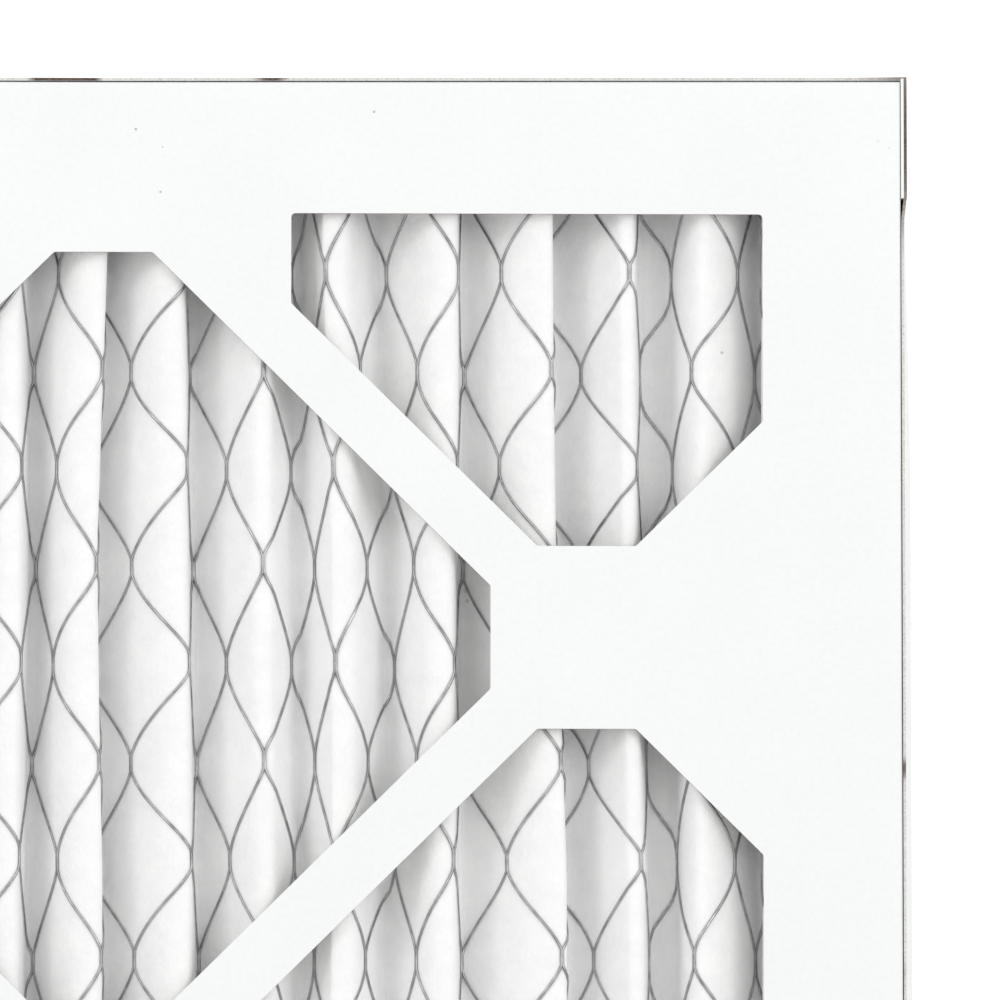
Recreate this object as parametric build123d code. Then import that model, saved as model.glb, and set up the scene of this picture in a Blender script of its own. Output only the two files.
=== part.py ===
from build123d import *
import math
import os

# Pleated panel air filter, lying flat with its air-leaving face up. All lengths in millimetres.
# X runs across the panel, Y along its height when it is slid in upright, Z through its depth.
# The origin is in the middle of the air-entering face.

# Panel: nominal 14 x 18 x 1 inch, made undersize so that it slides into its slot.
panel_width = 342.9
panel_height = 444.5
panel_depth = 19.05

# Paperboard trays: the front one nests inside the walls of the back one.
board = 0.6
fold_radius = 0.8
corner_slit = 0.2
nest_clearance = 0.1
tab_length = 26.0

# Windows: truncated diamonds left between diagonal struts.
lattice_x = 102.9
lattice_y = 101.8
strut_width = 13.0
node_half_width = 20.4
node_half_height = 19.5
end_node_half_width = 40.0
side_border = 29.5
end_border = 28.2
border_corner = 1.0

# Adhesive: a film inside each face, a bead along each wall.
film_thickness = 0.3
film_inset = 2.0
bead_thickness = 1.0
bead_end_clearance = 0.3

# Pleated media, creased sharp inside each fold and rounded by its own thickness outside it.
pleat_pitch = 18.2
media_thickness = 1.2

# Expanded metal on the air-leaving side of the media, with two layers of crossing strands.
strand_width = 0.75
strand_thickness = 0.3
wire_clearance = 0.05
half_cells_per_pleat = 3
cell_height = 41.9
cell_row_offset = 12.7

# Nested sizes that follow from the above.
wall_gap = corner_slit + board + nest_clearance
back_inner_half_width = panel_width / 2 - board
back_inner_half_height = panel_height / 2 - board
front_half_width = back_inner_half_width - wall_gap
front_half_height = back_inner_half_height - wall_gap
front_inner_half_width = front_half_width - board
front_inner_half_height = front_half_height - board
pack_half_width = front_inner_half_width - bead_thickness
pack_half_height = front_inner_half_height - bead_thickness
front_face_z = panel_depth - board
pack_bottom_z = board + film_thickness
pack_top_z = front_face_z - film_thickness
wire_stack = wire_clearance + 2 * strand_thickness
media_top_z = pack_top_z - wire_stack
media_mid_z = (pack_bottom_z + media_top_z) / 2


def window(column, row):
    """Outline of one window: a lattice diamond, cut short at the nodes and at the panel's border."""
    centre = (column * lattice_x, row * lattice_y)
    corners = [(lattice_x, 0), (0, lattice_y), (-lattice_x, 0), (0, -lattice_y)]
    diamond = offset(make_face(Polyline(corners, close=True)), -strut_width / 2, kind=Kind.INTERSECTION)
    flats = Rectangle(2 * (lattice_x - node_half_width), 2 * (lattice_y - node_half_height))
    border_width = 2 * (front_half_width - side_border)
    border_height = 2 * (front_half_height - end_border)
    inside_border = RectangleRounded(border_width, border_height, border_corner)
    shape = Pos(*centre) * diamond & Pos(*centre) * flats & inside_border
    if column and row:
        half_plane = Rectangle(panel_width, 2 * panel_height)
        shape = shape & Pos(math.copysign(end_node_half_width + panel_width / 2, column), 0) * half_plane
    return shape.faces()[0]


def windows():
    """All windows of a face: the lattice cells that lie mostly inside the border."""
    cells = [(0, -1), (0, 1), (-1, 0), (1, 0), (-1, -2), (1, -2), (-1, 2), (1, 2)]
    return [window(column, row) for column, row in cells]


def tray(half_width, half_height, depth):
    """A folded blank lying on its face: walls up all round, with a tab of each end wall inside each corner."""
    shell = Pos(0, 0, depth / 2) * Box(2 * half_width, 2 * half_height, depth)
    folds = shell.edges().group_by(Axis.Z)[0]
    shell = fillet(folds, fold_radius)
    room_depth = depth - board
    room = Box(2 * (half_width - board), 2 * (half_height - board), room_depth)
    shell -= Pos(0, 0, board + room_depth / 2) * room
    slit_x = half_width - board - corner_slit / 2
    tab_x = half_width - board - corner_slit - board / 2
    tab_y = half_height - tab_length / 2
    tab = Box(board, tab_length, room_depth)
    slit = Box(corner_slit, tab_length, room_depth)
    for side in (-1, 1):
        for end in (-1, 1):
            shell += Pos(side * tab_x, end * tab_y, board + room_depth / 2) * tab
            shell -= Pos(side * slit_x, end * tab_y, board + room_depth / 2) * slit
    for outline in windows():
        shell -= extrude(outline, board)
    return shell


def film():
    """A film of adhesive with the outline of a tray's face, held back from the window edges."""
    sheet = Rectangle(2 * pack_half_width, 2 * pack_half_height)
    for outline in windows():
        sheet -= offset(outline, film_inset, kind=Kind.INTERSECTION)
    return extrude(sheet, film_thickness)


def flank_slope():
    """Rise over run of a pleat's flank, for rounded folds that just fill the pack's depth."""
    quarter = pleat_pitch / 4
    mid_radius = media_thickness / 2
    straight = (media_top_z - pack_bottom_z) / 2 - media_thickness
    spread = quarter**2 - mid_radius**2
    root = math.sqrt((quarter * straight) ** 2 - spread * (straight**2 - mid_radius**2))
    return (quarter * straight + root) / spread


slope = flank_slope()
slant = math.hypot(1, slope)
pleat_reach = math.ceil(pack_half_width / pleat_pitch) + 1


def fold_points(shift):
    """Sharp folds of the zigzag, on a line that lies the given distance in front of the sheet's middle."""
    crest = slope * pleat_pitch / 4
    points = []
    for half in range(-2 * pleat_reach, 2 * pleat_reach + 1):
        height = crest if half % 2 == 0 else -crest
        points.append((half * pleat_pitch / 2, media_mid_z + height + shift * slant))
    return points


def media_edge(side):
    """One surface of the folded sheet in section, front (1) or back (-1): round over the outside of each fold."""
    points = fold_points(side * media_thickness / 2)
    first_outside = 2 if side > 0 else 1
    radii = [0] * (len(points) - 2)
    for index in range(first_outside, len(points) - 1, 2):
        radii[index - 1] = media_thickness
    return FilletPolyline(*points, radius=radii)


def pleated_media():
    """The folded sheet, cut off where its outer flanks meet the side beads."""
    front = media_edge(1)
    back = media_edge(-1)
    ends = [Line(front @ 0, back @ 0), Line(front @ 1, back @ 1)]
    section = make_face(front.edges() + back.edges() + ends)
    section = section & Pos(0, media_mid_z) * Rectangle(2 * pack_half_width, panel_depth)
    return extrude(Plane.XZ * section, pack_half_height, both=True)


def wire_points(lift):
    """The line of a strand's surface in section, the given height off the front of the media."""
    tip_half = (media_thickness + lift) * math.tan(math.atan(slope) / 2)
    points = []
    for index, (x, z) in enumerate(fold_points(media_thickness / 2 + lift)):
        if index % 2 == 0:
            points.append((x - tip_half, z - tip_half * slope))
            points.append((x + tip_half, z - tip_half * slope))
        else:
            points.append((x, z))
    return points


def wire_height(points, x):
    """Height of a strand's surface at one place across the panel."""
    for (x0, z0), (x1, z1) in zip(points, points[1:]):
        if x0 <= x <= x1:
            return z0 + (z1 - z0) * (x - x0) / (x1 - x0)
    raise ValueError("the place is outside the pack")


def strand(start_x, rise, lower, upper):
    """One strand: straight in plan and zigzag in section, between two lines over the media."""
    climb = rise * (cell_height / 2) / (pleat_pitch / half_cells_per_pleat)
    plan_width = strand_width * math.hypot(1, climb)
    reach = pack_half_height - plan_width / 2
    first, last = sorted(start_x + (y - cell_row_offset) / climb for y in (-reach, reach))
    first = max(first, -pack_half_width)
    last = min(last, pack_half_width)
    if last - first < strand_width:
        return None
    outline = []
    for points in (lower, upper):
        inner = [(x, z) for x, z in points if first < x < last]
        line = [(first, wire_height(points, first)), *inner, (last, wire_height(points, last))]
        outline += line if points is lower else line[::-1]
    plan_start = cell_row_offset - plan_width / 2
    corners = [(x, plan_start + climb * (x - start_x), z) for x, z in outline]
    side = make_face(Polyline(corners, close=True))
    return extrude(side, plan_width, dir=(0, 1, 0))


def wire_backing():
    """Both sets of strands: the rising ones on the media, the falling ones on top of them."""
    spacing = 2 * pleat_pitch / half_cells_per_pleat
    lean = 2 * pack_half_height / cell_height * spacing
    count = math.ceil((pack_half_width + lean) / spacing)
    lines = [wire_points(wire_clearance + layer * strand_thickness) for layer in range(3)]
    strands = []
    for layer, rise in enumerate((1, -1)):
        for number in range(-count, count + 1):
            piece = strand(number * spacing, rise, lines[layer], lines[layer + 1])
            if piece:
                strands.append(piece)
    return strands


def bead(length_x, length_y):
    """A bead of adhesive standing between the two faces."""
    height = front_face_z - board
    return Pos(0, 0, board + height / 2) * Box(length_x, length_y, height)


back_tray = tray(panel_width / 2, panel_height / 2, panel_depth)
front_tray = Pos(0, 0, panel_depth) * Rot(X=180) * tray(front_half_width, front_half_height, front_face_z)
end_bead = bead(2 * pack_half_width, bead_thickness)
side_bead_length = 2 * (front_inner_half_height - tab_length - bead_end_clearance)
side_bead = bead(bead_thickness, side_bead_length)
end_bead_y = pack_half_height + bead_thickness / 2
side_bead_x = pack_half_width + bead_thickness / 2

nodes = {
    "front_tray": front_tray,
    "back_tray": back_tray,
    "pleated_media": pleated_media(),
    "wire_backing": Compound(wire_backing()),
    "front_glue_film": Pos(0, 0, pack_top_z) * film(),
    "back_glue_film": Pos(0, 0, board) * film(),
    "end_seal_top": Pos(0, end_bead_y, 0) * end_bead,
    "end_seal_bottom": Pos(0, -end_bead_y, 0) * end_bead,
    "side_seal_right": Pos(side_bead_x, 0, 0) * side_bead,
    "side_seal_left": Pos(-side_bead_x, 0, 0) * side_bead,
}

os.makedirs("parts", exist_ok=True)
for name, shape in nodes.items():
    export_step(shape, f"parts/{name}.step")
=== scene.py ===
import math

import bpy
import numpy as np
from mathutils import Matrix, Vector
from mathutils.geometry import delaunay_2d_cdt


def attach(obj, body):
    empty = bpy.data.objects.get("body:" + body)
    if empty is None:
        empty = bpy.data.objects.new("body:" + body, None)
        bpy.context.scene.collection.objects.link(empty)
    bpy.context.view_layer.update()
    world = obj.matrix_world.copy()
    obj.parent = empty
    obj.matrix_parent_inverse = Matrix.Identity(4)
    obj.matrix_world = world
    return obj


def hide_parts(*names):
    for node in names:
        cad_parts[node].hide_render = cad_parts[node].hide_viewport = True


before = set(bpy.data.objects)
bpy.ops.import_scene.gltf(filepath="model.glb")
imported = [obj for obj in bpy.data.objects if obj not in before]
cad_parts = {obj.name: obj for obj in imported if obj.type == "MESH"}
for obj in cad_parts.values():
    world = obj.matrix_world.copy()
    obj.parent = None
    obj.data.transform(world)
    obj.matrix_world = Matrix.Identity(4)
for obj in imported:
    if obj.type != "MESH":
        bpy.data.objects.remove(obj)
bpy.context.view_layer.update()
random = np.random.default_rng(14)

# Everything is in metres, in the frame of the CAD model: the filter lies on its back tray, with Y
# up the panel and its air-leaving face up.
MM = 0.001

# Folded board of both trays.
BOARD = 0.6 * MM
FOLD_RADIUS = 0.5 * MM
PANEL_HALF_X = 171.45 * MM
PANEL_HALF_Y = 222.25 * MM
PANEL_DEPTH = 19.05 * MM
FRONT_HALF_X = 169.95 * MM
FRONT_HALF_Y = 220.75 * MM
TAB_LENGTH = 26.0 * MM
TAB_SLIT = 0.2 * MM
FOLD_ANGLES = np.radians((22.5, 45, 67.5, 90))
WALL_RINGS = 5
TAB_GRID = (6, 4)
SHARP_ANGLE = math.radians(40)
# Points of a tray's face: how far apart they are, and the least share of that to any other point.
MESH_SPACING = 5 * MM
LEAST_SPACING = 0.6
SAME_POINT = 1e-7
ON_RIM = 1e-6

# How the board settles. The outer end walls lean in at the top, less so to the right, and are held
# at the corners. The front tray's end folds come out to the right. The side walls lean in and
# belly out from where the corner tabs end.
END_WALL_LEAN = 0.75 * MM
RIGHT_END_LEAN = 0.1 * MM
END_WALL_HELD = 8 * MM
FRONT_FLARE = 0.6 * MM
FLARE_REACH = 6 * MM
SIDE_WALL_LEAN = 0.85 * MM
SIDE_WALL_BELLY = 1.1 * MM
CORNER_LEAN = 0.15 * MM
LEAN_LENGTH = 5 * MM
BELLY_LENGTH = 60 * MM

# Materials of a tray, in the order of its slots.
COATED, WINDOW_CUT, WALL_CUT = 0, 1, 2
CUT_SLANT = 0.12 * MM

# Windows: lattice diamonds cut short at the nodes and at the border.
LATTICE_X = 102.9 * MM
LATTICE_Y = 101.8 * MM
STRUT_WIDTH = 13.0 * MM
NODE_HALF_WIDTH = 20.4 * MM
NODE_HALF_HEIGHT = 19.5 * MM
END_NODE_HALF_WIDTH = 40.0 * MM
SIDE_BORDER = 29.5 * MM
END_BORDER = 28.2 * MM
CUT_CORNER = 0.45 * MM
BORDER_CORNER = 1.0 * MM
CORNER_STATIONS = (0, 0.25, 0.5, 0.75, 1)
SQUARE_CORNER = 0.1
SHORTEST_SIDE = 0.05 * MM
WINDOW_CELLS = [(0, -1), (0, 1), (-1, 0), (1, 0), (-1, -2), (1, -2), (-1, 2), (1, 2)]

# Folded media: every pleat leans to the right, and no two are quite alike.
PLEAT_PITCH = 18.2 * MM
PACK_HALF_X = 168.35 * MM
PACK_HALF_Y = 219.15 * MM
CREST_Z = 17.5 * MM
VALLEY_Z = 2.1 * MM
MEDIA_THICKNESS = 1.1 * MM
DRIFT_HEIGHTS = (50 * MM, 120 * MM, 185 * MM)
# Per pleat, in millimetres: its right-hand crease at the three drift heights; how far before it
# lie the left-hand crease and the shoulder that the flank rises towards; how far it droops; how
# far beyond it the valley lies. Last come the wire's half-cell counts at the crease and in the
# valley.
PLEATS = {
    -1: ((-17.5, -16.9, -17.4), 3.6, 6.5, 0.9, 2.2, -4.0, -2.95),
    0: ((0.5, -0.9, 1.1), 3.6, 7.9, 0.9, -0.8, -0.96, 0.28),
    1: ((19.4, 18.1, 17.5), 3.4, 7.4, 0.9, 1.3, 2.01, 3.1),
    2: ((36.9, 36.0, 36.2), 3.2, 5.4, 0.9, 5.2, 5.19, 6.3),
    3: ((54.4, 54.0, 52.2), 5.4, 5.8, 1.2, 6.2, 8.64, 9.77),
    4: ((75.4, 75.0, 75.5), 3.6, 7.0, 0.9, 1.5, 12.02, 13.04),
    5: ((98.9, 96.8, 96.0), 3.2, 8.6, 0.9, -1.5, 15.07, 16.56),
    6: ((115.4, 113.7, 113.2), 3.0, 4.2, 0.9, 2.0, 18.08, 19.75),
    7: ((135.0, 135.2, 135.4), 7.2, 10.8, 6.2, 5.6, 22.05, 23.35),
}
# The pleats that the table leaves out: how far their right-hand crease lies beyond the pitch's
# mark and strays from there, the least and most of the other lengths, and the wire's counts.
MADE_UP_SHIFT = 0.6
MADE_UP_STRAY = (-0.6, 0.6)
MADE_UP_LEAST = (3.0, 5.0, 0.8, -0.5)
MADE_UP_MOST = (4.2, 7.5, 1.0, 2.0)
HALF_CELLS_PER_PLEAT = 3
HALF_CELLS_TO_VALLEY = 1.1
# Width of the valleys, and the pleats whose valley is wider or raised.
VALLEY_WIDTH = 1.5 * MM
WIDE_VALLEYS = {5: 4.0 * MM, 6: 6.0 * MM}
SHALLOW_VALLEYS = {2: 3.0 * MM}
# Waves of the creases up the panel: their lengths in metres, about the sum of their heights where
# the first is one high, and how far each kind of line drifts.
WAVE_LENGTHS = (0.31, 0.13, 0.06)
WAVE_SUM = 1.6
PLEAT_DRIFT = 0.25 * MM
CREASE_DRIFT = 0.15 * MM
CREASE_SINK = 0.08 * MM
VALLEY_DRIFT = 0.3 * MM
LEFT_DROOP = 0.5 * MM
SHOULDER_Z = 16.4 * MM
STRAIGHT_SHARE = 0.5
CREST_BULGE = 0.1
FIRST_SLOPE = 2
LAST_PLEAT = 9
FIRST_STATIONS = 3
STRAIGHT_STATIONS = 4
SHOULDER_STATIONS = 9
CREST_STATIONS = 6
RIGHT_STATIONS = 7
VALLEY_STATIONS = 2
CREASE_SOFTENING = 1
MEDIA_ROWS = 91

# Expanded metal: half-cells are counted along the folded sheet.
STRAND_WIDTH = 0.62 * MM
STRAND_THICKNESS = 0.32 * MM
STRAND_LIFT = 0.3 * MM
STRAND_SECTION = [(1, 0), (0.5, 1), (-0.5, 1), (-1, 0), (-0.5, -1), (0.5, -1)]
STRAND_STATIONS = 17
# Stations inside a bond, as shares of its half length; a strand ends past the middle, tapered.
BOND_STATIONS = (-0.35, 0.1, 0.55)
BOND_TAPER = 0.45
BOND_OFFSET = 0.14 * MM
BOND_HALF_LENGTH = 1.7 * MM
# How far the bonds stray from the even lattice: in half-cells across, and in metres up the panel.
BOND_SCATTER_ACROSS = 0.03
BOND_SCATTER_UP = 0.25 * MM
# How strongly a strand curves between bonds, and how soon it leaves its neighbour's side.
STRAND_CURVE = 0.45
STRAND_PARTING = 6
CELL_HEIGHT = 41.9 * MM
CELL_ROW_OFFSET = 12.7 * MM


# ---------------------------------------------------------------- mesh helpers

def mesh_object(name, vertices, faces):
    """A new mesh object in the scene, shaded smooth, from plain lists or arrays."""
    mesh = bpy.data.meshes.new(name)
    mesh.from_pydata([tuple(v) for v in vertices], [], [tuple(int(i) for i in f) for f in faces])
    mesh.validate()
    mesh.update()
    mesh.polygons.foreach_set("use_smooth", [True] * len(mesh.polygons))
    piece = bpy.data.objects.new(name, mesh)
    bpy.context.scene.collection.objects.link(piece)
    return piece


def place(piece, slot, *nodes):
    """A finished piece rides with the panel and stands for its CAD nodes."""
    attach(piece, "root")
    if nodes:
        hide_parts(*nodes)


def grid_faces(columns, rows, start=0, flip=False):
    """Quads of a grid whose vertices run column by column."""
    index = start + np.arange(columns * rows).reshape(columns, rows)
    corners = [index[:-1, :-1], index[1:, :-1], index[1:, 1:], index[:-1, 1:]]
    if flip:
        corners.reverse()
    return np.stack([c.ravel() for c in corners], axis=1)


def closed_sheet(name, front, back):
    """A closed sheet between two grids of the same size, given as columns x rows x 3."""
    columns, rows, _ = front.shape
    count = columns * rows
    index = np.arange(count).reshape(columns, rows)
    rim = np.concatenate([index[:, 0], index[-1, 1:], index[-2::-1, -1], index[0, -2:0:-1]])
    after = np.roll(rim, -1)
    sides = np.stack([after, rim, rim + count, after + count], axis=1)
    faces = [grid_faces(columns, rows), grid_faces(columns, rows, count, flip=True), sides]
    vertices = np.concatenate([front.reshape(-1, 3), back.reshape(-1, 3)])
    return mesh_object(name, vertices, np.concatenate(faces))


def unit(vectors):
    """The same vectors at length one."""
    return vectors / np.linalg.norm(vectors, axis=-1, keepdims=True)


# ---------------------------------------------------------------- pleated media

def pleat_shape(pleat):
    """One pleat's row of the table in metres, made up for the pleats that it leaves out."""
    if pleat in PLEATS:
        creases, *lengths, count, valley_count = PLEATS[pleat]
    else:
        middle = pleat * PLEAT_PITCH / MM + MADE_UP_SHIFT
        creases = [middle + random.uniform(*MADE_UP_STRAY) for _ in DRIFT_HEIGHTS]
        lengths = random.uniform(MADE_UP_LEAST, MADE_UP_MOST)
        count = HALF_CELLS_PER_PLEAT * pleat + (1 if pleat > max(PLEATS) else -1)
        valley_count = count + HALF_CELLS_TO_VALLEY
    return np.array(creases) * MM, np.array(lengths) * MM, count, valley_count


def wander(y, size):
    """A slow drift up the panel, made of three waves."""
    drift = np.zeros_like(y)
    for length in WAVE_LENGTHS:
        share = length / WAVE_LENGTHS[0]
        drift += share * np.sin(2 * math.pi * (y / length + random.random()))
    return size * drift / WAVE_SUM


def leg(start, end, count, bow=0.0):
    """Stations from one crease to just short of the next, bowed out by a share of that distance."""
    across = end - start
    outward = np.stack([-across[:, 1], across[:, 0]], axis=1)
    shares = np.arange(count) / count
    return [start + across * s + outward * bow * math.sin(math.pi * s) for s in shares]


def flank(start, shoulder, end):
    """A rising flank: straight at first, then rounding over its shoulder to the crest."""
    bend = start + (shoulder - start) * STRAIGHT_SHARE
    stations = leg(start, bend, STRAIGHT_STATIONS)
    for t in np.arange(SHOULDER_STATIONS) / SHOULDER_STATIONS:
        stations.append(bend * (1 - t) ** 2 + shoulder * (2 * t * (1 - t)) + end * t ** 2)
    return stations


def folded_section(y):
    """Front surface of the media: stations along the sheet, and the counts at some of them."""
    def crease(x, z, drift=CREASE_DRIFT):
        return np.stack([x + wander(y, drift), z + wander(y, CREASE_SINK)], axis=1)

    def wall(x, z):
        return np.stack([np.full_like(y, x), np.full_like(y, z)], axis=1)

    stations, counted = [], []
    here = None
    for pleat in range(-LAST_PLEAT, LAST_PLEAT + 1):
        creases, (width, reach, droop, ahead), count, valley_count = pleat_shape(pleat)
        x = np.interp(y, DRIFT_HEIGHTS, creases) + wander(y, PLEAT_DRIFT)
        left_crease = crease(x - width, CREST_Z - LEFT_DROOP)
        right_crease = crease(x, CREST_Z - droop)
        if here is None:
            rise = FIRST_SLOPE * (x.min() - width + PACK_HALF_X)
            start = wall(-PACK_HALF_X, CREST_Z - LEFT_DROOP - rise)
            stations += leg(start, left_crease, FIRST_STATIONS)
        else:
            shoulder = crease(x - reach, SHOULDER_Z)
            stations += flank(here, shoulder, left_crease)
        stations += leg(left_crease, right_crease, CREST_STATIONS, CREST_BULGE)
        counted.append((len(stations), count))
        if pleat == LAST_PLEAT:
            near = wall(PACK_HALF_X - VALLEY_WIDTH, VALLEY_Z)
            here = wall(PACK_HALF_X, VALLEY_Z)
        else:
            floor_z = VALLEY_Z + SHALLOW_VALLEYS.get(pleat, 0)
            near = crease(x + ahead - VALLEY_WIDTH / 2, floor_z, VALLEY_DRIFT)
            far = ahead - VALLEY_WIDTH / 2 + WIDE_VALLEYS.get(pleat, VALLEY_WIDTH)
            here = crease(x + far, floor_z, VALLEY_DRIFT)
        stations += leg(right_crease, near, RIGHT_STATIONS)
        stations += leg(near, here, VALLEY_STATIONS)
        if pleat < LAST_PLEAT:
            counted.append((len(stations), valley_count))
    stations.append(here)
    section = np.stack(stations)
    for _ in range(CREASE_SOFTENING):
        section[1:-1] = (section[:-2] + 2 * section[1:-1] + section[2:]) / 4
    return section, counted


def surface_normals(surface):
    """Unit normals of a grid of points, on the side that faces up."""
    along = np.gradient(surface, axis=0)
    up = np.gradient(surface, axis=1)
    return unit(np.cross(along, up))


def media_surface():
    """The media's front grid, its normals, the wire's count at each column, and its flat length."""
    y = np.linspace(-PACK_HALF_Y, PACK_HALF_Y, MEDIA_ROWS)
    section, counted = folded_section(y)
    surface = np.zeros(section.shape[:2] + (3,))
    surface[..., 0] = section[..., 0]
    surface[..., 1] = y[None, :]
    surface[..., 2] = section[..., 1]
    steps = np.linalg.norm(np.diff(section.mean(axis=1), axis=0), axis=1)
    travelled = np.concatenate([[0], np.cumsum(steps)])
    places = travelled[[station for station, _ in counted]]
    counts = np.array([count for _, count in counted])
    half_cell = (places[-1] - places[0]) / (counts[-1] - counts[0])
    places = np.concatenate([[0], places, travelled[-1:]])
    lead_in = counts[0] - places[1] / half_cell
    lead_out = counts[-1] + (places[-1] - places[-2]) / half_cell
    cells = np.interp(travelled, places, np.concatenate([[lead_in], counts, [lead_out]]))
    return surface, surface_normals(surface), cells, travelled[-1]


# ---------------------------------------------------------------- expanded metal

def on_surface(surface, cells, count, y):
    """Points of a grid at the given half-cell counts and heights up the panel."""
    column = np.interp(count, cells, np.arange(len(cells)))
    row = (y + PACK_HALF_Y) / (2 * PACK_HALF_Y) * (MEDIA_ROWS - 1)
    c = np.clip(column.astype(int), 0, surface.shape[0] - 2)
    r = np.clip(row.astype(int), 0, surface.shape[1] - 2)
    u = (column - c)[..., None]
    v = (row - r)[..., None]
    near = surface[c, r] * (1 - v) + surface[c, r + 1] * v
    far = surface[c + 1, r] * (1 - v) + surface[c + 1, r + 1] * v
    return near * (1 - u) + far * u


def ribbons(name, centres, normals, size):
    """Closed six-sided ribbons along lines of points; size scales their section at each station."""
    tangents = unit(np.gradient(centres, axis=1))
    sideways = unit(np.cross(tangents, normals))
    upright = np.cross(sideways, tangents)
    rings = []
    for a, b in STRAND_SECTION:
        across = sideways * (a * STRAND_WIDTH / 2 * size)[None, :, None]
        rings.append(centres + across + upright * (b * STRAND_THICKNESS / 2 * size)[None, :, None])
    points = np.stack(rings, axis=2)
    strands, stations, sides = points.shape[:3]
    index = np.arange(strands * stations * sides).reshape(strands, stations, sides)
    nearby = np.roll(index, -1, axis=2)
    walls = [index[:, :-1], nearby[:, :-1], nearby[:, 1:], index[:, 1:]]
    faces = np.stack([w.ravel() for w in walls], axis=1).tolist()
    faces += index[:, 0, ::-1].tolist()
    faces += index[:, -1].tolist()
    return mesh_object(name, points.reshape(-1, 3), faces)


def bond_places(cells):
    """Every bond of the expanded metal: its half-cell count and its height up the panel."""
    bonds = {}
    rows = math.ceil(PACK_HALF_Y / (CELL_HEIGHT / 2)) + 1
    for count in range(math.ceil(cells[0]), math.floor(cells[-1]) + 1):
        for row in range(-rows, rows + 1):
            if (count + row) % 2 == 0:
                y = CELL_ROW_OFFSET + row * CELL_HEIGHT / 2
                across = random.normal(0, BOND_SCATTER_ACROSS)
                up = random.normal(0, BOND_SCATTER_UP)
                if abs(y) < PACK_HALF_Y - 2 * BOND_HALF_LENGTH:
                    bonds[count, row] = count + across, y + up
    return bonds


def wire_pieces(surface, normals, cells):
    """Rising and falling strands: side by side through each bond, curving away to the next."""
    bonds = bond_places(cells)
    run = np.linspace(0, 1, STRAND_STATIONS)
    curve = run + STRAND_CURVE * (run * run * (3 - 2 * run) - run)
    bond = np.array(BOND_STATIONS) * BOND_HALF_LENGTH
    curve = np.concatenate([0 * bond, curve, 0 * bond + 1])
    parting = (1 - run) ** STRAND_PARTING - run ** STRAND_PARTING
    beside = np.concatenate([0 * bond + 1, parting, 0 * bond - 1])
    size = np.concatenate([[BOND_TAPER], np.ones(len(curve) - 2), [BOND_TAPER]])
    pieces = []
    for name, step in (("wire_rising_strands", 1), ("wire_falling_strands", -1)):
        counts, heights = [], []
        for (count, row), (c0, y0) in bonds.items():
            if (count + step, row + 1) in bonds:
                c1, y1 = bonds[count + step, row + 1]
                low, high = y0 + BOND_HALF_LENGTH, y1 - BOND_HALF_LENGTH
                between = low + (high - low) * run
                counts.append(c0 + (c1 - c0) * curve)
                heights.append(np.concatenate([y0 + bond, between, y1 - bond[::-1]]))
        counts, heights = np.array(counts), np.array(heights)
        normal = unit(on_surface(normals, cells, counts, heights))
        centre = on_surface(surface, cells, counts, heights) + normal * STRAND_LIFT
        sideways = unit(np.cross(np.array([0.0, 1.0, 0.0]), normal))
        centre += sideways * (step * BOND_OFFSET * beside)[None, :, None]
        pieces.append(ribbons(name, centre, normal, size))
    return pieces


# ---------------------------------------------------------------- board trays

def clip(polygon, across, up, limit):
    """The part of a convex polygon where across * x + up * y stays under the limit."""
    kept = []
    for (x0, y0), (x1, y1) in zip(polygon, polygon[1:] + polygon[:1]):
        d0 = across * x0 + up * y0 - limit
        d1 = across * x1 + up * y1 - limit
        if d0 <= 0:
            kept.append((x0, y0))
        if (d0 < 0) != (d1 < 0):
            share = d0 / (d0 - d1)
            kept.append((x0 + (x1 - x0) * share, y0 + (y1 - y0) * share))
    return kept


def window_corners(column, row):
    """Sharp corners of one window."""
    cx, cy = column * LATTICE_X, row * LATTICE_Y
    slant = math.hypot(LATTICE_X, LATTICE_Y)
    reach = LATTICE_X * LATTICE_Y / slant - STRUT_WIDTH / 2
    half_x, half_y = LATTICE_X - NODE_HALF_WIDTH, LATTICE_Y - NODE_HALF_HEIGHT
    shape = [(cx - half_x, cy - half_y), (cx + half_x, cy - half_y)]
    shape += [(cx + half_x, cy + half_y), (cx - half_x, cy + half_y)]
    for a in (-LATTICE_Y / slant, LATTICE_Y / slant):
        for b in (-LATTICE_X / slant, LATTICE_X / slant):
            shape = clip(shape, a, b, a * cx + b * cy + reach)
    for sign in (-1, 1):
        shape = clip(shape, sign, 0, FRONT_HALF_X - SIDE_BORDER)
        shape = clip(shape, 0, sign, FRONT_HALF_Y - END_BORDER)
    if column and row:
        sign = math.copysign(1, column)
        shape = clip(shape, -sign, 0, -END_NODE_HALF_WIDTH)
    return [p for p, q in zip(shape, shape[1:] + shape[:1]) if math.dist(p, q) > SHORTEST_SIDE]


def window_outline(corners):
    """A window's outline with small round corners and points along its sides."""
    outline = []
    for index, here in enumerate(corners):
        before, after = np.array(corners[index - 1]), np.array(corners[(index + 1) % len(corners)])
        here = np.array(here)
        ways = unit(before - here), unit(after - here)
        radius = BORDER_CORNER if abs(ways[0] @ ways[1]) < SQUARE_CORNER else CUT_CORNER
        back, ahead = ways[0] * radius, ways[1] * radius
        for t in CORNER_STATIONS:
            outline.append(here + back * (1 - t) ** 2 + ahead * t ** 2)
        end = after - ahead
        start = here + ahead
        steps = max(1, round(math.dist(start, end) / MESH_SPACING))
        for step in range(1, steps):
            outline.append(start + (end - start) * step / steps)
    return outline


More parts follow.
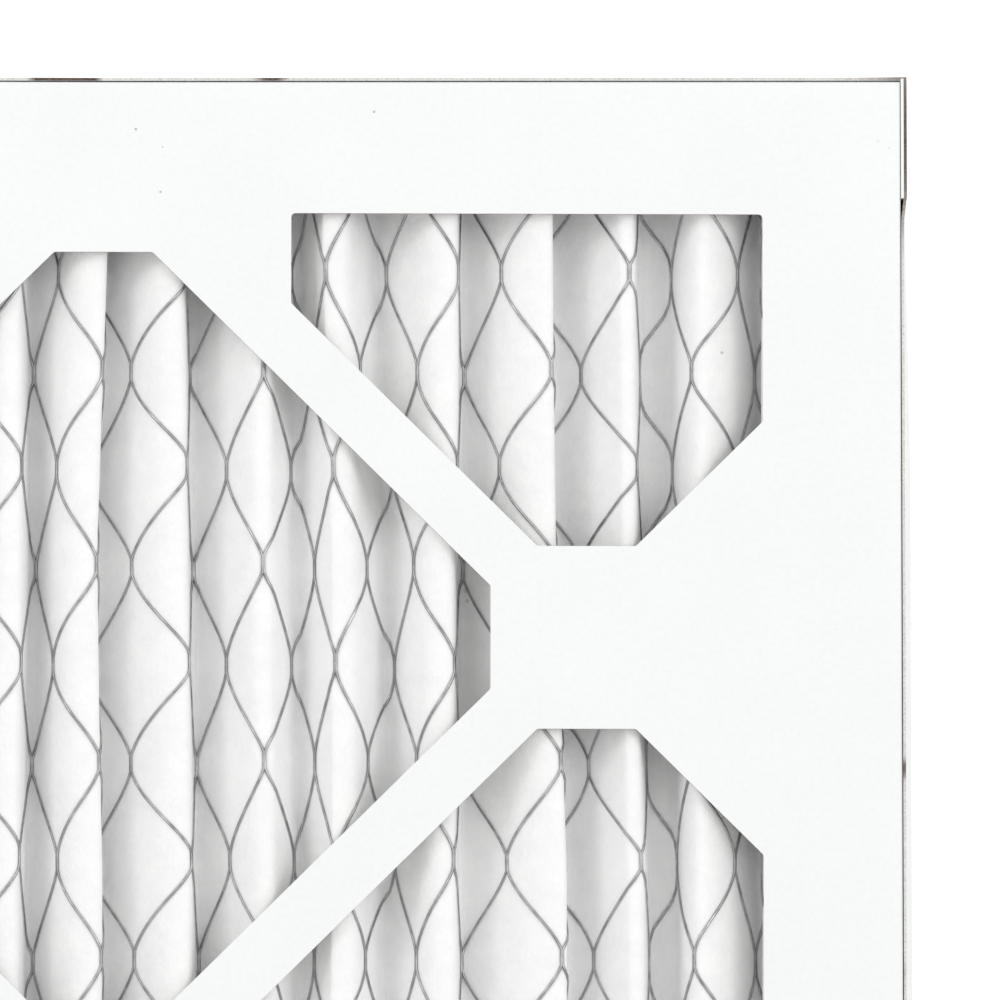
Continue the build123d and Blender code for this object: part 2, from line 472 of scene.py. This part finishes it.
def inside(point, corners):
    """True if a point lies inside a convex polygon that runs anticlockwise."""
    for (x0, y0), (x1, y1) in zip(corners, corners[1:] + corners[:1]):
        if (x1 - x0) * (point[1] - y0) - (y1 - y0) * (point[0] - x0) < 0:
            return False
    return True


def rim_points(half_x, half_y):
    """Points round a rectangle, anticlockwise from its lower left corner."""
    along_x = np.linspace(-half_x, half_x, round(2 * half_x / MESH_SPACING) + 1)
    along_y = np.linspace(-half_y, half_y, round(2 * half_y / MESH_SPACING) + 1)
    points = [(x, -half_y) for x in along_x[:-1]] + [(half_x, y) for y in along_y[:-1]]
    points += [(x, half_y) for x in along_x[:0:-1]] + [(-half_x, y) for y in along_y[:0:-1]]
    return points


def tray_surface(half_x, half_y):
    """Middle surface of a tray's face at height zero: its vertices, its faces and its rim."""
    flat_x, flat_y = half_x - FOLD_RADIUS, half_y - FOLD_RADIUS
    rim = rim_points(flat_x, flat_y)
    windows = [window_corners(*cell) for cell in WINDOW_CELLS]
    points = [Vector(p) for p in rim]
    edges = [(i, (i + 1) % len(rim)) for i in range(len(rim))]
    for corners in windows:
        outline = window_outline(corners)
        first = len(points)
        points += [Vector(p) for p in outline]
        edges += [(first + i, first + (i + 1) % len(outline)) for i in range(len(outline))]
    taken = np.array(points)
    spacing = MESH_SPACING
    for x in np.arange(-flat_x + spacing, flat_x - spacing / 2, spacing):
        for y in np.arange(-flat_y + spacing, flat_y - spacing / 2, spacing):
            if np.min(np.hypot(taken[:, 0] - x, taken[:, 1] - y)) > LEAST_SPACING * spacing:
                if not any(inside((x, y), corners) for corners in windows):
                    points.append(Vector((x, y)))
    found, _, triangles, _, _, _ = delaunay_2d_cdt(points, edges, [], 0, SAME_POINT)
    vertices = [(p.x, p.y, 0.0) for p in found]
    faces = []
    for face in triangles:
        middle = sum((found[i] for i in face), Vector((0, 0))) / 3
        if not any(inside(middle, corners) for corners in windows):
            faces.append(tuple(face))
    return vertices, faces, rim


def add_walls(vertices, faces, rim, half_x, half_y, height):
    """Folds and walls round the face, in rings that share its rim."""
    def ring(out, z):
        places = []
        for x, y in rim:
            at_x = abs(abs(x) - (half_x - FOLD_RADIUS)) < ON_RIM
            at_y = abs(abs(y) - (half_y - FOLD_RADIUS)) < ON_RIM
            shift_x = math.copysign(out, x) if at_x else 0
            shift_y = math.copysign(out, y) if at_y else 0
            places.append((x + shift_x, y + shift_y, z))
        return places

    rings = []
    for angle in FOLD_ANGLES:
        rings.append(ring(FOLD_RADIUS * math.sin(angle), FOLD_RADIUS * (1 - math.cos(angle))))
    for share in np.linspace(0, 1, WALL_RINGS + 1)[1:]:
        rings.append(ring(FOLD_RADIUS, FOLD_RADIUS + (height - FOLD_RADIUS) * share))
    previous = list(range(len(rim)))
    for places in rings:
        current = list(range(len(vertices), len(vertices) + len(places)))
        vertices += places
        for i in range(len(rim)):
            j = (i + 1) % len(rim)
            faces.append((previous[j], previous[i], current[i], current[j]))
        previous = current


def tray_piece(name, half_x, half_y, depth):
    """A folded tray lying on its face, before its board gets its thickness."""
    mid_x, mid_y = half_x - BOARD / 2, half_y - BOARD / 2
    vertices, faces, rim = tray_surface(mid_x, mid_y)
    add_walls(vertices, faces, rim, mid_x, mid_y, depth - BOARD / 2)
    add_tabs(vertices, faces, half_x, half_y, depth - BOARD / 2)
    return mesh_object(name, vertices, faces)


def add_tabs(vertices, faces, half_x, half_y, depth):
    """A tab of each end wall, folded round inside the side wall at every corner."""
    x = half_x - BOARD - TAB_SLIT - BOARD / 2
    along, up = TAB_GRID
    lengths = np.linspace(half_y - BOARD / 2, half_y - TAB_LENGTH, along)
    for side in (-1, 1):
        for end in (-1, 1):
            start = len(vertices)
            for y in lengths:
                vertices += [(side * x, end * y, z) for z in np.linspace(BOARD, depth, up)]
            quads = grid_faces(along, up, start, side * end > 0)
            faces += [tuple(int(i) for i in quad) for quad in quads]


def rightward(x):
    """From zero at the middle of the panel to one at its right-hand side."""
    return min(1.0, max(0.0, x / PANEL_HALF_X))


def flare_ends(piece):
    """The front tray's end folds, which come out a little towards the right."""
    for vertex in piece.data.vertices:
        share = max(0.0, 1 - (FRONT_HALF_Y - abs(vertex.co.y)) / FLARE_REACH)
        vertex.co.y += math.copysign(FRONT_FLARE * share * rightward(vertex.co.x), vertex.co.y)


def relax_walls(piece):
    """The outer walls lean in on the front tray at the top, and the side walls belly out."""
    for vertex in piece.data.vertices:
        x, y, z = vertex.co
        share = max(0.0, z - FOLD_RADIUS) / (PANEL_DEPTH - FOLD_RADIUS)
        if abs(y) > PANEL_HALF_Y - BOARD:
            free = min(1.0, (PANEL_HALF_X - abs(x)) / END_WALL_HELD)
            lean = END_WALL_LEAN + (RIGHT_END_LEAN - END_WALL_LEAN) * rightward(x)
            vertex.co.y -= math.copysign(lean * share ** 2 * free, y)
        if abs(x) > PANEL_HALF_X - BOARD:
            beyond = max(0.0, PANEL_HALF_Y - TAB_LENGTH - abs(y))
            belly = SIDE_WALL_BELLY * math.sin(math.pi * share) * min(1.0, beyond / BELLY_LENGTH)
            free = min(1.0, beyond / LEAN_LENGTH)
            lean = (CORNER_LEAN + (SIDE_WALL_LEAN - CORNER_LEAN) * free) * share ** 2
            vertex.co.x += math.copysign(1, x) * (belly - lean)


def slant_cuts(mesh, inward):
    """The die leaves each window a little smaller on the inner face of the board."""
    middle = np.mean([v.co.z for v in mesh.vertices if abs(v.co.x) < 0.1 * PANEL_HALF_X])
    pull = {}
    for face in mesh.polygons:
        if face.material_index == WINDOW_CUT and abs(face.normal.z) < 0.5:
            for index in face.vertices:
                if (mesh.vertices[index].co.z - middle) * inward > 0:
                    pull[index] = pull.get(index, Vector()) + face.normal
    for index, way in pull.items():
        mesh.vertices[index].co += way.normalized() * CUT_SLANT


def thicken(piece, materials, half_x, half_y, inward):
    """The board's own thickness, with sharp cut edges: those of the windows, then of the walls."""
    for material in materials:
        piece.data.materials.append(material)
    solid = piece.modifiers.new("board", "SOLIDIFY")
    solid.thickness = BOARD
    solid.offset = 0
    solid.use_even_offset = True
    solid.material_offset_rim = WINDOW_CUT
    evaluated = piece.evaluated_get(bpy.context.evaluated_depsgraph_get())
    thick = bpy.data.meshes.new_from_object(evaluated)
    piece.modifiers.clear()
    piece.data = thick
    slant_cuts(thick, inward)
    for face in thick.polygons:
        if face.material_index == WINDOW_CUT and abs(face.normal.z) > 0.5:
            x, y, _ = face.center
            beside_wall = abs(x) < half_x - TAB_SLIT - BOARD
            on_tab = beside_wall and half_y - TAB_LENGTH < abs(y) < half_y - 2 * BOARD
            face.material_index = COATED if on_tab else WALL_CUT
    thick.set_sharp_from_angle(angle=SHARP_ANGLE)


# ---------------------------------------------------------------- materials

# Marks, each as its centre, radius and strength: dark specks and faint scuffs on the board, painted
# shade that darkens a wall's edge by the top right corner, and stains on the media, given in plan.
BOARD_SPECKS = [
    ((6.8 * MM, 210.5 * MM, PANEL_DEPTH), 0.35 * MM, 0.8),
    ((12.5 * MM, 206.7 * MM, PANEL_DEPTH), 0.25 * MM, 0.6),
    ((12.1 * MM, 197.0 * MM, PANEL_DEPTH), 0.35 * MM, 0.7),
    ((57.6 * MM, 214.4 * MM, PANEL_DEPTH), 0.4 * MM, 0.7),
    ((165.2 * MM, 208.4 * MM, PANEL_DEPTH), 0.5 * MM, 0.15),
    ((167.6 * MM, 206.9 * MM, PANEL_DEPTH), 0.5 * MM, 0.15),
]
# Painted shade: the wall's edge is darkened towards the top right corner, where it lies in shadow.
CORNER_PAINTED_SHADE = [((186.0 * MM, 209.0 * MM, PANEL_DEPTH), 34 * MM, 1.0)]
MEDIA_MARKS = [
    ((131.9 * MM, 163.3 * MM, 0), 0.45 * MM, 0.5),
    ((77.6 * MM, 113.5 * MM, 0), 0.9 * MM, 0.25),
    ((76.6 * MM, 115.6 * MM, 0), 0.7 * MM, 0.3),
    ((77.8 * MM, 111.2 * MM, 0), 0.6 * MM, 0.3),
]
# The share of its radius in which a mark has its full strength.
MARK_CORE = 0.4


def new_material(name):
    """A node material: its tree, its shader, and where the object's own coordinates come out."""
    material = bpy.data.materials.new(name)
    material.use_nodes = True
    tree = material.node_tree
    shader = tree.nodes["Principled BSDF"]
    coordinates = tree.nodes.new("ShaderNodeTexCoord").outputs["Object"]
    return material, tree, shader, coordinates


def noise(tree, coordinates, size, detail=3.0, stretch=(1, 1, 1)):
    """Noise whose features are about the given size in metres."""
    mapping = tree.nodes.new("ShaderNodeMapping")
    mapping.inputs["Scale"].default_value = stretch
    tree.links.new(coordinates, mapping.inputs["Vector"])
    node = tree.nodes.new("ShaderNodeTexNoise")
    node.inputs["Scale"].default_value = 1 / size
    node.inputs["Detail"].default_value = detail
    tree.links.new(mapping.outputs["Vector"], node.inputs["Vector"])
    return node.outputs["Fac"]


def ramp(tree, factor, stops):
    """A colour ramp from (place, colour) pairs."""
    node = tree.nodes.new("ShaderNodeValToRGB")
    elements = node.color_ramp.elements
    while len(elements) < len(stops):
        elements.new(0.5)
    for element, (at, colour) in zip(elements, stops):
        element.position = at
        element.color = (*colour, 1)
    tree.links.new(factor, node.inputs["Fac"])
    return node.outputs["Color"]


def mix(tree, factor, first, second, kind="MIX"):
    """Two colours mixed by a socket or a number."""
    node = tree.nodes.new("ShaderNodeMix")
    node.data_type = "RGBA"
    node.blend_type = kind
    for value, place_in in ((factor, 0), (first, 6), (second, 7)):
        socket = node.inputs[place_in]
        if isinstance(value, bpy.types.NodeSocket):
            tree.links.new(value, socket)
        elif isinstance(value, (int, float)):
            socket.default_value = value
        else:
            socket.default_value = (*value, 1)
    return node.outputs[2]


def bump(tree, shader, height, depth, before=None):
    """Bump of the given depth in metres."""
    node = tree.nodes.new("ShaderNodeBump")
    node.inputs["Strength"].default_value = 1
    node.inputs["Distance"].default_value = depth
    tree.links.new(height, node.inputs["Height"])
    if before is not None:
        tree.links.new(before, node.inputs["Normal"])
    tree.links.new(node.outputs["Normal"], shader.inputs["Normal"])
    return node.outputs["Normal"]


def spots(tree, coordinates, places):
    """The strength of whichever round spot the surface lies in, and zero elsewhere."""
    total = None
    for centre, radius, strength in places:
        distance = tree.nodes.new("ShaderNodeVectorMath")
        distance.operation = "DISTANCE"
        tree.links.new(coordinates, distance.inputs[0])
        distance.inputs[1].default_value = centre
        fade = tree.nodes.new("ShaderNodeMapRange")
        fade.interpolation_type = "SMOOTHSTEP"
        for value, socket in zip((MARK_CORE * radius, radius, strength, 0.0), fade.inputs[1:5]):
            socket.default_value = value
        tree.links.new(distance.outputs["Value"], fade.inputs[0])
        if total is None:
            total = fade.outputs[0]
        else:
            add = tree.nodes.new("ShaderNodeMath")
            tree.links.new(total, add.inputs[0])
            tree.links.new(fade.outputs[0], add.inputs[1])
            total = add.outputs[0]
    return total


def coated_board():
    """White clay-coated board: faint mottling, fine tooth, a soft sheen and a few dark specks."""
    material, tree, shader, at = new_material("coated_board")
    cloud = noise(tree, at, 30 * MM)
    mottle = ramp(tree, cloud, [(0.3, (0.862, 0.878, 0.870)), (0.7, (0.882, 0.896, 0.889))])
    fine = noise(tree, at, 1.2 * MM, 5)
    fibres = ramp(tree, fine, [(0.35, (0.98, 0.98, 0.98)), (0.6, (1, 1, 1))])
    colour = mix(tree, 1.0, mottle, fibres, "MULTIPLY")
    colour = mix(tree, spots(tree, at, BOARD_SPECKS), colour, (0.30, 0.29, 0.27))
    tree.links.new(colour, shader.inputs["Base Color"])
    rough = ramp(tree, noise(tree, at, 6 * MM), [(0.3, (0.42,) * 3), (0.7, (0.52,) * 3)])
    tree.links.new(rough, shader.inputs["Roughness"])
    shader.inputs["Specular IOR Level"].default_value = 0.35
    slow = bump(tree, shader, noise(tree, at, 14 * MM, 2), 0.12 * MM)
    bump(tree, shader, noise(tree, at, 0.35 * MM, 4), 0.012 * MM, slow)
    return material


def cut_edge():
    """Edge that the die leaves round a window: the board's brown core."""
    material, tree, shader, at = new_material("board_cut_edge")
    plies = noise(tree, at, 0.5 * MM, 4, (1, 1, 3))
    colour = ramp(tree, plies, [(0.3, (0.36, 0.26, 0.20)), (0.7, (0.58, 0.46, 0.38))])
    tree.links.new(colour, shader.inputs["Base Color"])
    shader.inputs["Roughness"].default_value = 0.9
    bump(tree, shader, plies, 0.05 * MM)
    return material


def wall_edge():
    """Edge of the walls: rubbed pale, with bare brown stretches, and a painted shade that darkens
    it by the corner.
    """
    material, tree, shader, at = new_material("board_wall_edge")
    plies = noise(tree, at, 0.5 * MM, 4, (1, 1, 3))
    pale = ramp(tree, plies, [(0.3, (0.55, 0.53, 0.50)), (0.7, (0.80, 0.79, 0.77))])
    # The dark brown of a bare edge, used both for worn stretches and for the painted shade by the
    # corner.
    bare_core_and_shade = ramp(tree, plies, [(0.3, (0.05, 0.038, 0.03)), (0.7, (0.17, 0.12, 0.095))])
    worn = ramp(tree, noise(tree, at, 22 * MM, 2), [(0.60, (0,) * 3), (0.66, (1,) * 3)])
    # Painted shade: the spot where the wall's edge is darkened by the corner as if in shadow.
    corners = spots(tree, at, CORNER_PAINTED_SHADE)
    colour = mix(tree, corners, mix(tree, worn, pale, bare_core_and_shade), bare_core_and_shade)
    tree.links.new(colour, shader.inputs["Base Color"])
    shader.inputs["Roughness"].default_value = 0.9
    bump(tree, shader, plies, 0.05 * MM)
    return material


def media_cloth():
    """Non-woven filter media: white fibres laid at random, slightly cloudy."""
    material, tree, shader, at = new_material("non_woven_media")
    whites = [(0.3, (0.90, 0.90, 0.90)), (0.7, (0.945, 0.945, 0.94))]
    cloud = ramp(tree, noise(tree, at, 5 * MM, 4), whites)
    fibre = noise(tree, at, 0.5 * MM, 6, (1, 0.4, 1))
    shade = ramp(tree, fibre, [(0.3, (0.965,) * 3), (0.65, (1, 1, 1))])
    plan = tree.nodes.new("ShaderNodeMapping")
    plan.inputs["Scale"].default_value = (1, 1, 0)
    tree.links.new(at, plan.inputs["Vector"])
    marks = spots(tree, plan.outputs["Vector"], MEDIA_MARKS)
    colour = mix(tree, marks, mix(tree, 1.0, cloud, shade, "MULTIPLY"), (0.25, 0.24, 0.22))
    tree.links.new(colour, shader.inputs["Base Color"])
    shader.inputs["Roughness"].default_value = 0.95
    shader.inputs["Specular IOR Level"].default_value = 0.2
    shader.inputs["Sheen Weight"].default_value = 0.25
    slow = bump(tree, shader, noise(tree, at, 3 * MM, 3), 0.25 * MM)
    bump(tree, shader, fibre, 0.08 * MM, slow)
    return material


def galvanised_wire():
    """Slit and stretched galvanised sheet: dull grey with bright faces."""
    material, tree, shader, at = new_material("galvanised_wire")
    spangle = noise(tree, at, 3 * MM, 3)
    colour = ramp(tree, spangle, [(0.3, (0.27, 0.273, 0.275)), (0.7, (0.48, 0.483, 0.485))])
    tree.links.new(colour, shader.inputs["Base Color"])
    shader.inputs["Metallic"].default_value = 1.0
    rough = ramp(tree, noise(tree, at, 2 * MM), [(0.3, (0.28,) * 3), (0.7, (0.5,) * 3)])
    tree.links.new(rough, shader.inputs["Roughness"])
    bump(tree, shader, noise(tree, at, 0.4 * MM, 3, (1, 0.3, 1)), 0.02 * MM)
    return material


def hot_melt():
    """Milky adhesive with a soft shine."""
    material, tree, shader, at = new_material("white_glue")
    milks = [(0.3, (0.74, 0.73, 0.69)), (0.7, (0.82, 0.81, 0.77))]
    colour = ramp(tree, noise(tree, at, 4 * MM), milks)
    tree.links.new(colour, shader.inputs["Base Color"])
    shader.inputs["Roughness"].default_value = 0.4
    bump(tree, shader, noise(tree, at, 2.5 * MM, 2), 0.2 * MM)
    return material


# ---------------------------------------------------------------- the object

board_materials = [coated_board(), cut_edge(), wall_edge()]

surface, normals, cells, developed = media_surface()
media = closed_sheet("pleated_media_cloth", surface, surface - normals * MEDIA_THICKNESS)
media.data.materials.append(media_cloth())
place(media, "media", "pleated_media")

wire_material = galvanised_wire()
for wire in wire_pieces(surface, normals, cells):
    wire.data.materials.append(wire_material)
    place(wire, "wire", "wire_backing")

back = tray_piece("back_tray_board", PANEL_HALF_X, PANEL_HALF_Y, PANEL_DEPTH)
relax_walls(back)
back.data.transform(Matrix.Translation((0, 0, BOARD / 2)))
front = tray_piece("front_tray_board", FRONT_HALF_X, FRONT_HALF_Y, PANEL_DEPTH - BOARD)
flare_ends(front)
front.data.transform(Matrix.Rotation(math.pi, 4, "X"))
front.data.transform(Matrix.Translation((0, 0, PANEL_DEPTH - BOARD / 2)))
thicken(back, board_materials, PANEL_HALF_X, PANEL_HALF_Y, 1)
thicken(front, board_materials, FRONT_HALF_X, FRONT_HALF_Y, -1)
for tray, node in ((back, "back_tray"), (front, "front_tray")):
    place(tray, "board", node)

# The films and beads of glue keep their CAD meshes.
glue = hot_melt()
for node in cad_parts.values():
    if not node.hide_render:
        node.data.materials.clear()
        node.data.materials.append(glue)


# ---------------------------------------------------------------- floor, light and camera

FLOOR_HALF = 20.0
FLOOR_GREY = (0.82, 0.82, 0.82, 1)
FLOOR_GLOW = 0.3
WORLD_STRENGTH = 0.85
WHITE = (1, 1, 1, 1)
LENS = 423.4
CAMERA_DISTANCE = 2.5
CAMERA_TARGET = Vector((84.5 * MM, 131.1 * MM, PANEL_DEPTH))
CAMERA_FROM_LEFT = math.radians(1.0)
CAMERA_FROM_BELOW = math.radians(6.6)
CAMERA_ROLL = math.radians(0.03)


def seen_directly(tree):
    """One for what the camera sees itself or in metal and glass, zero for light on the object."""
    rays = tree.nodes.new("ShaderNodeLightPath").outputs
    total = rays["Is Camera Ray"]
    for name in ("Is Glossy Ray", "Is Transmission Ray"):
        either = tree.nodes.new("ShaderNodeMath")
        either.operation = "MAXIMUM"
        tree.links.new(total, either.inputs[0])
        tree.links.new(rays[name], either.inputs[1])
        total = either.outputs[0]
    return total


def make_floor():
    """A plain pale floor that reads white to the camera and keeps the object's shadow."""
    corners = [(x * FLOOR_HALF, y * FLOOR_HALF, 0) for x, y in [(-1, -1), (1, -1), (1, 1), (-1, 1)]]
    floor = mesh_object("floor", corners, [(0, 1, 2, 3)])
    material, tree, shader, _ = new_material("pale_floor")
    shader.inputs["Base Color"].default_value = FLOOR_GREY
    shader.inputs["Roughness"].default_value = 0.9
    shader.inputs["Specular IOR Level"].default_value = 0.0
    shader.inputs["Emission Color"].default_value = WHITE
    level = tree.nodes.new("ShaderNodeMath")
    level.operation = "MULTIPLY"
    level.inputs[1].default_value = FLOOR_GLOW
    tree.links.new(seen_directly(tree), level.inputs[0])
    tree.links.new(level.outputs[0], shader.inputs["Emission Strength"])
    floor.data.materials.append(material)


def make_world():
    """Even light from all round, white where the camera looks past the floor."""
    world = bpy.data.worlds.new("studio")
    bpy.context.scene.world = world
    world.use_nodes = True
    tree = world.node_tree
    background = tree.nodes["Background"]
    strength = tree.nodes.new("ShaderNodeMapRange")
    tree.links.new(seen_directly(tree), strength.inputs["Value"])
    strength.inputs["To Min"].default_value = WORLD_STRENGTH
    strength.inputs["To Max"].default_value = 1.0
    tree.links.new(strength.outputs["Result"], background.inputs["Strength"])
    background.inputs["Color"].default_value = WHITE


def make_lamp(name, place_at, size, power):
    """A large square lamp turned to the middle of the panel."""
    light = bpy.data.lights.new(name, "AREA")
    light.size = size
    light.energy = power
    lamp = bpy.data.objects.new(name, light)
    bpy.context.scene.collection.objects.link(lamp)
    lamp.location = place_at
    lamp.rotation_euler = (-Vector(place_at)).to_track_quat("-Z", "Y").to_euler()
    lamp.visible_camera = False


def make_camera():
    """The camera stands over the panel, a little to its left and below."""
    data = bpy.data.cameras.new("camera")
    data.lens = LENS
    data.clip_end = 100
    camera = bpy.data.objects.new("camera", data)
    bpy.context.scene.collection.objects.link(camera)
    back = Vector((-math.tan(CAMERA_FROM_LEFT), -math.tan(CAMERA_FROM_BELOW), 1)).normalized()
    right = Vector((0, 1, 0)).cross(back).normalized()
    turn = Matrix((right, back.cross(right), back)).transposed().to_4x4()
    stand = Matrix.Translation(CAMERA_TARGET + back * CAMERA_DISTANCE)
    camera.matrix_world = stand @ turn @ Matrix.Rotation(CAMERA_ROLL, 4, "Z")
    bpy.context.scene.camera = camera


make_floor()
make_world()
make_lamp("left_key", (-0.8, 0.8, 0.85), 0.5, 3.1)
make_lamp("right_key", (1.2, 0.4, 1.4), 0.8, 6.4)
make_camera()
bpy.context.scene.view_settings.view_transform = "Standard"
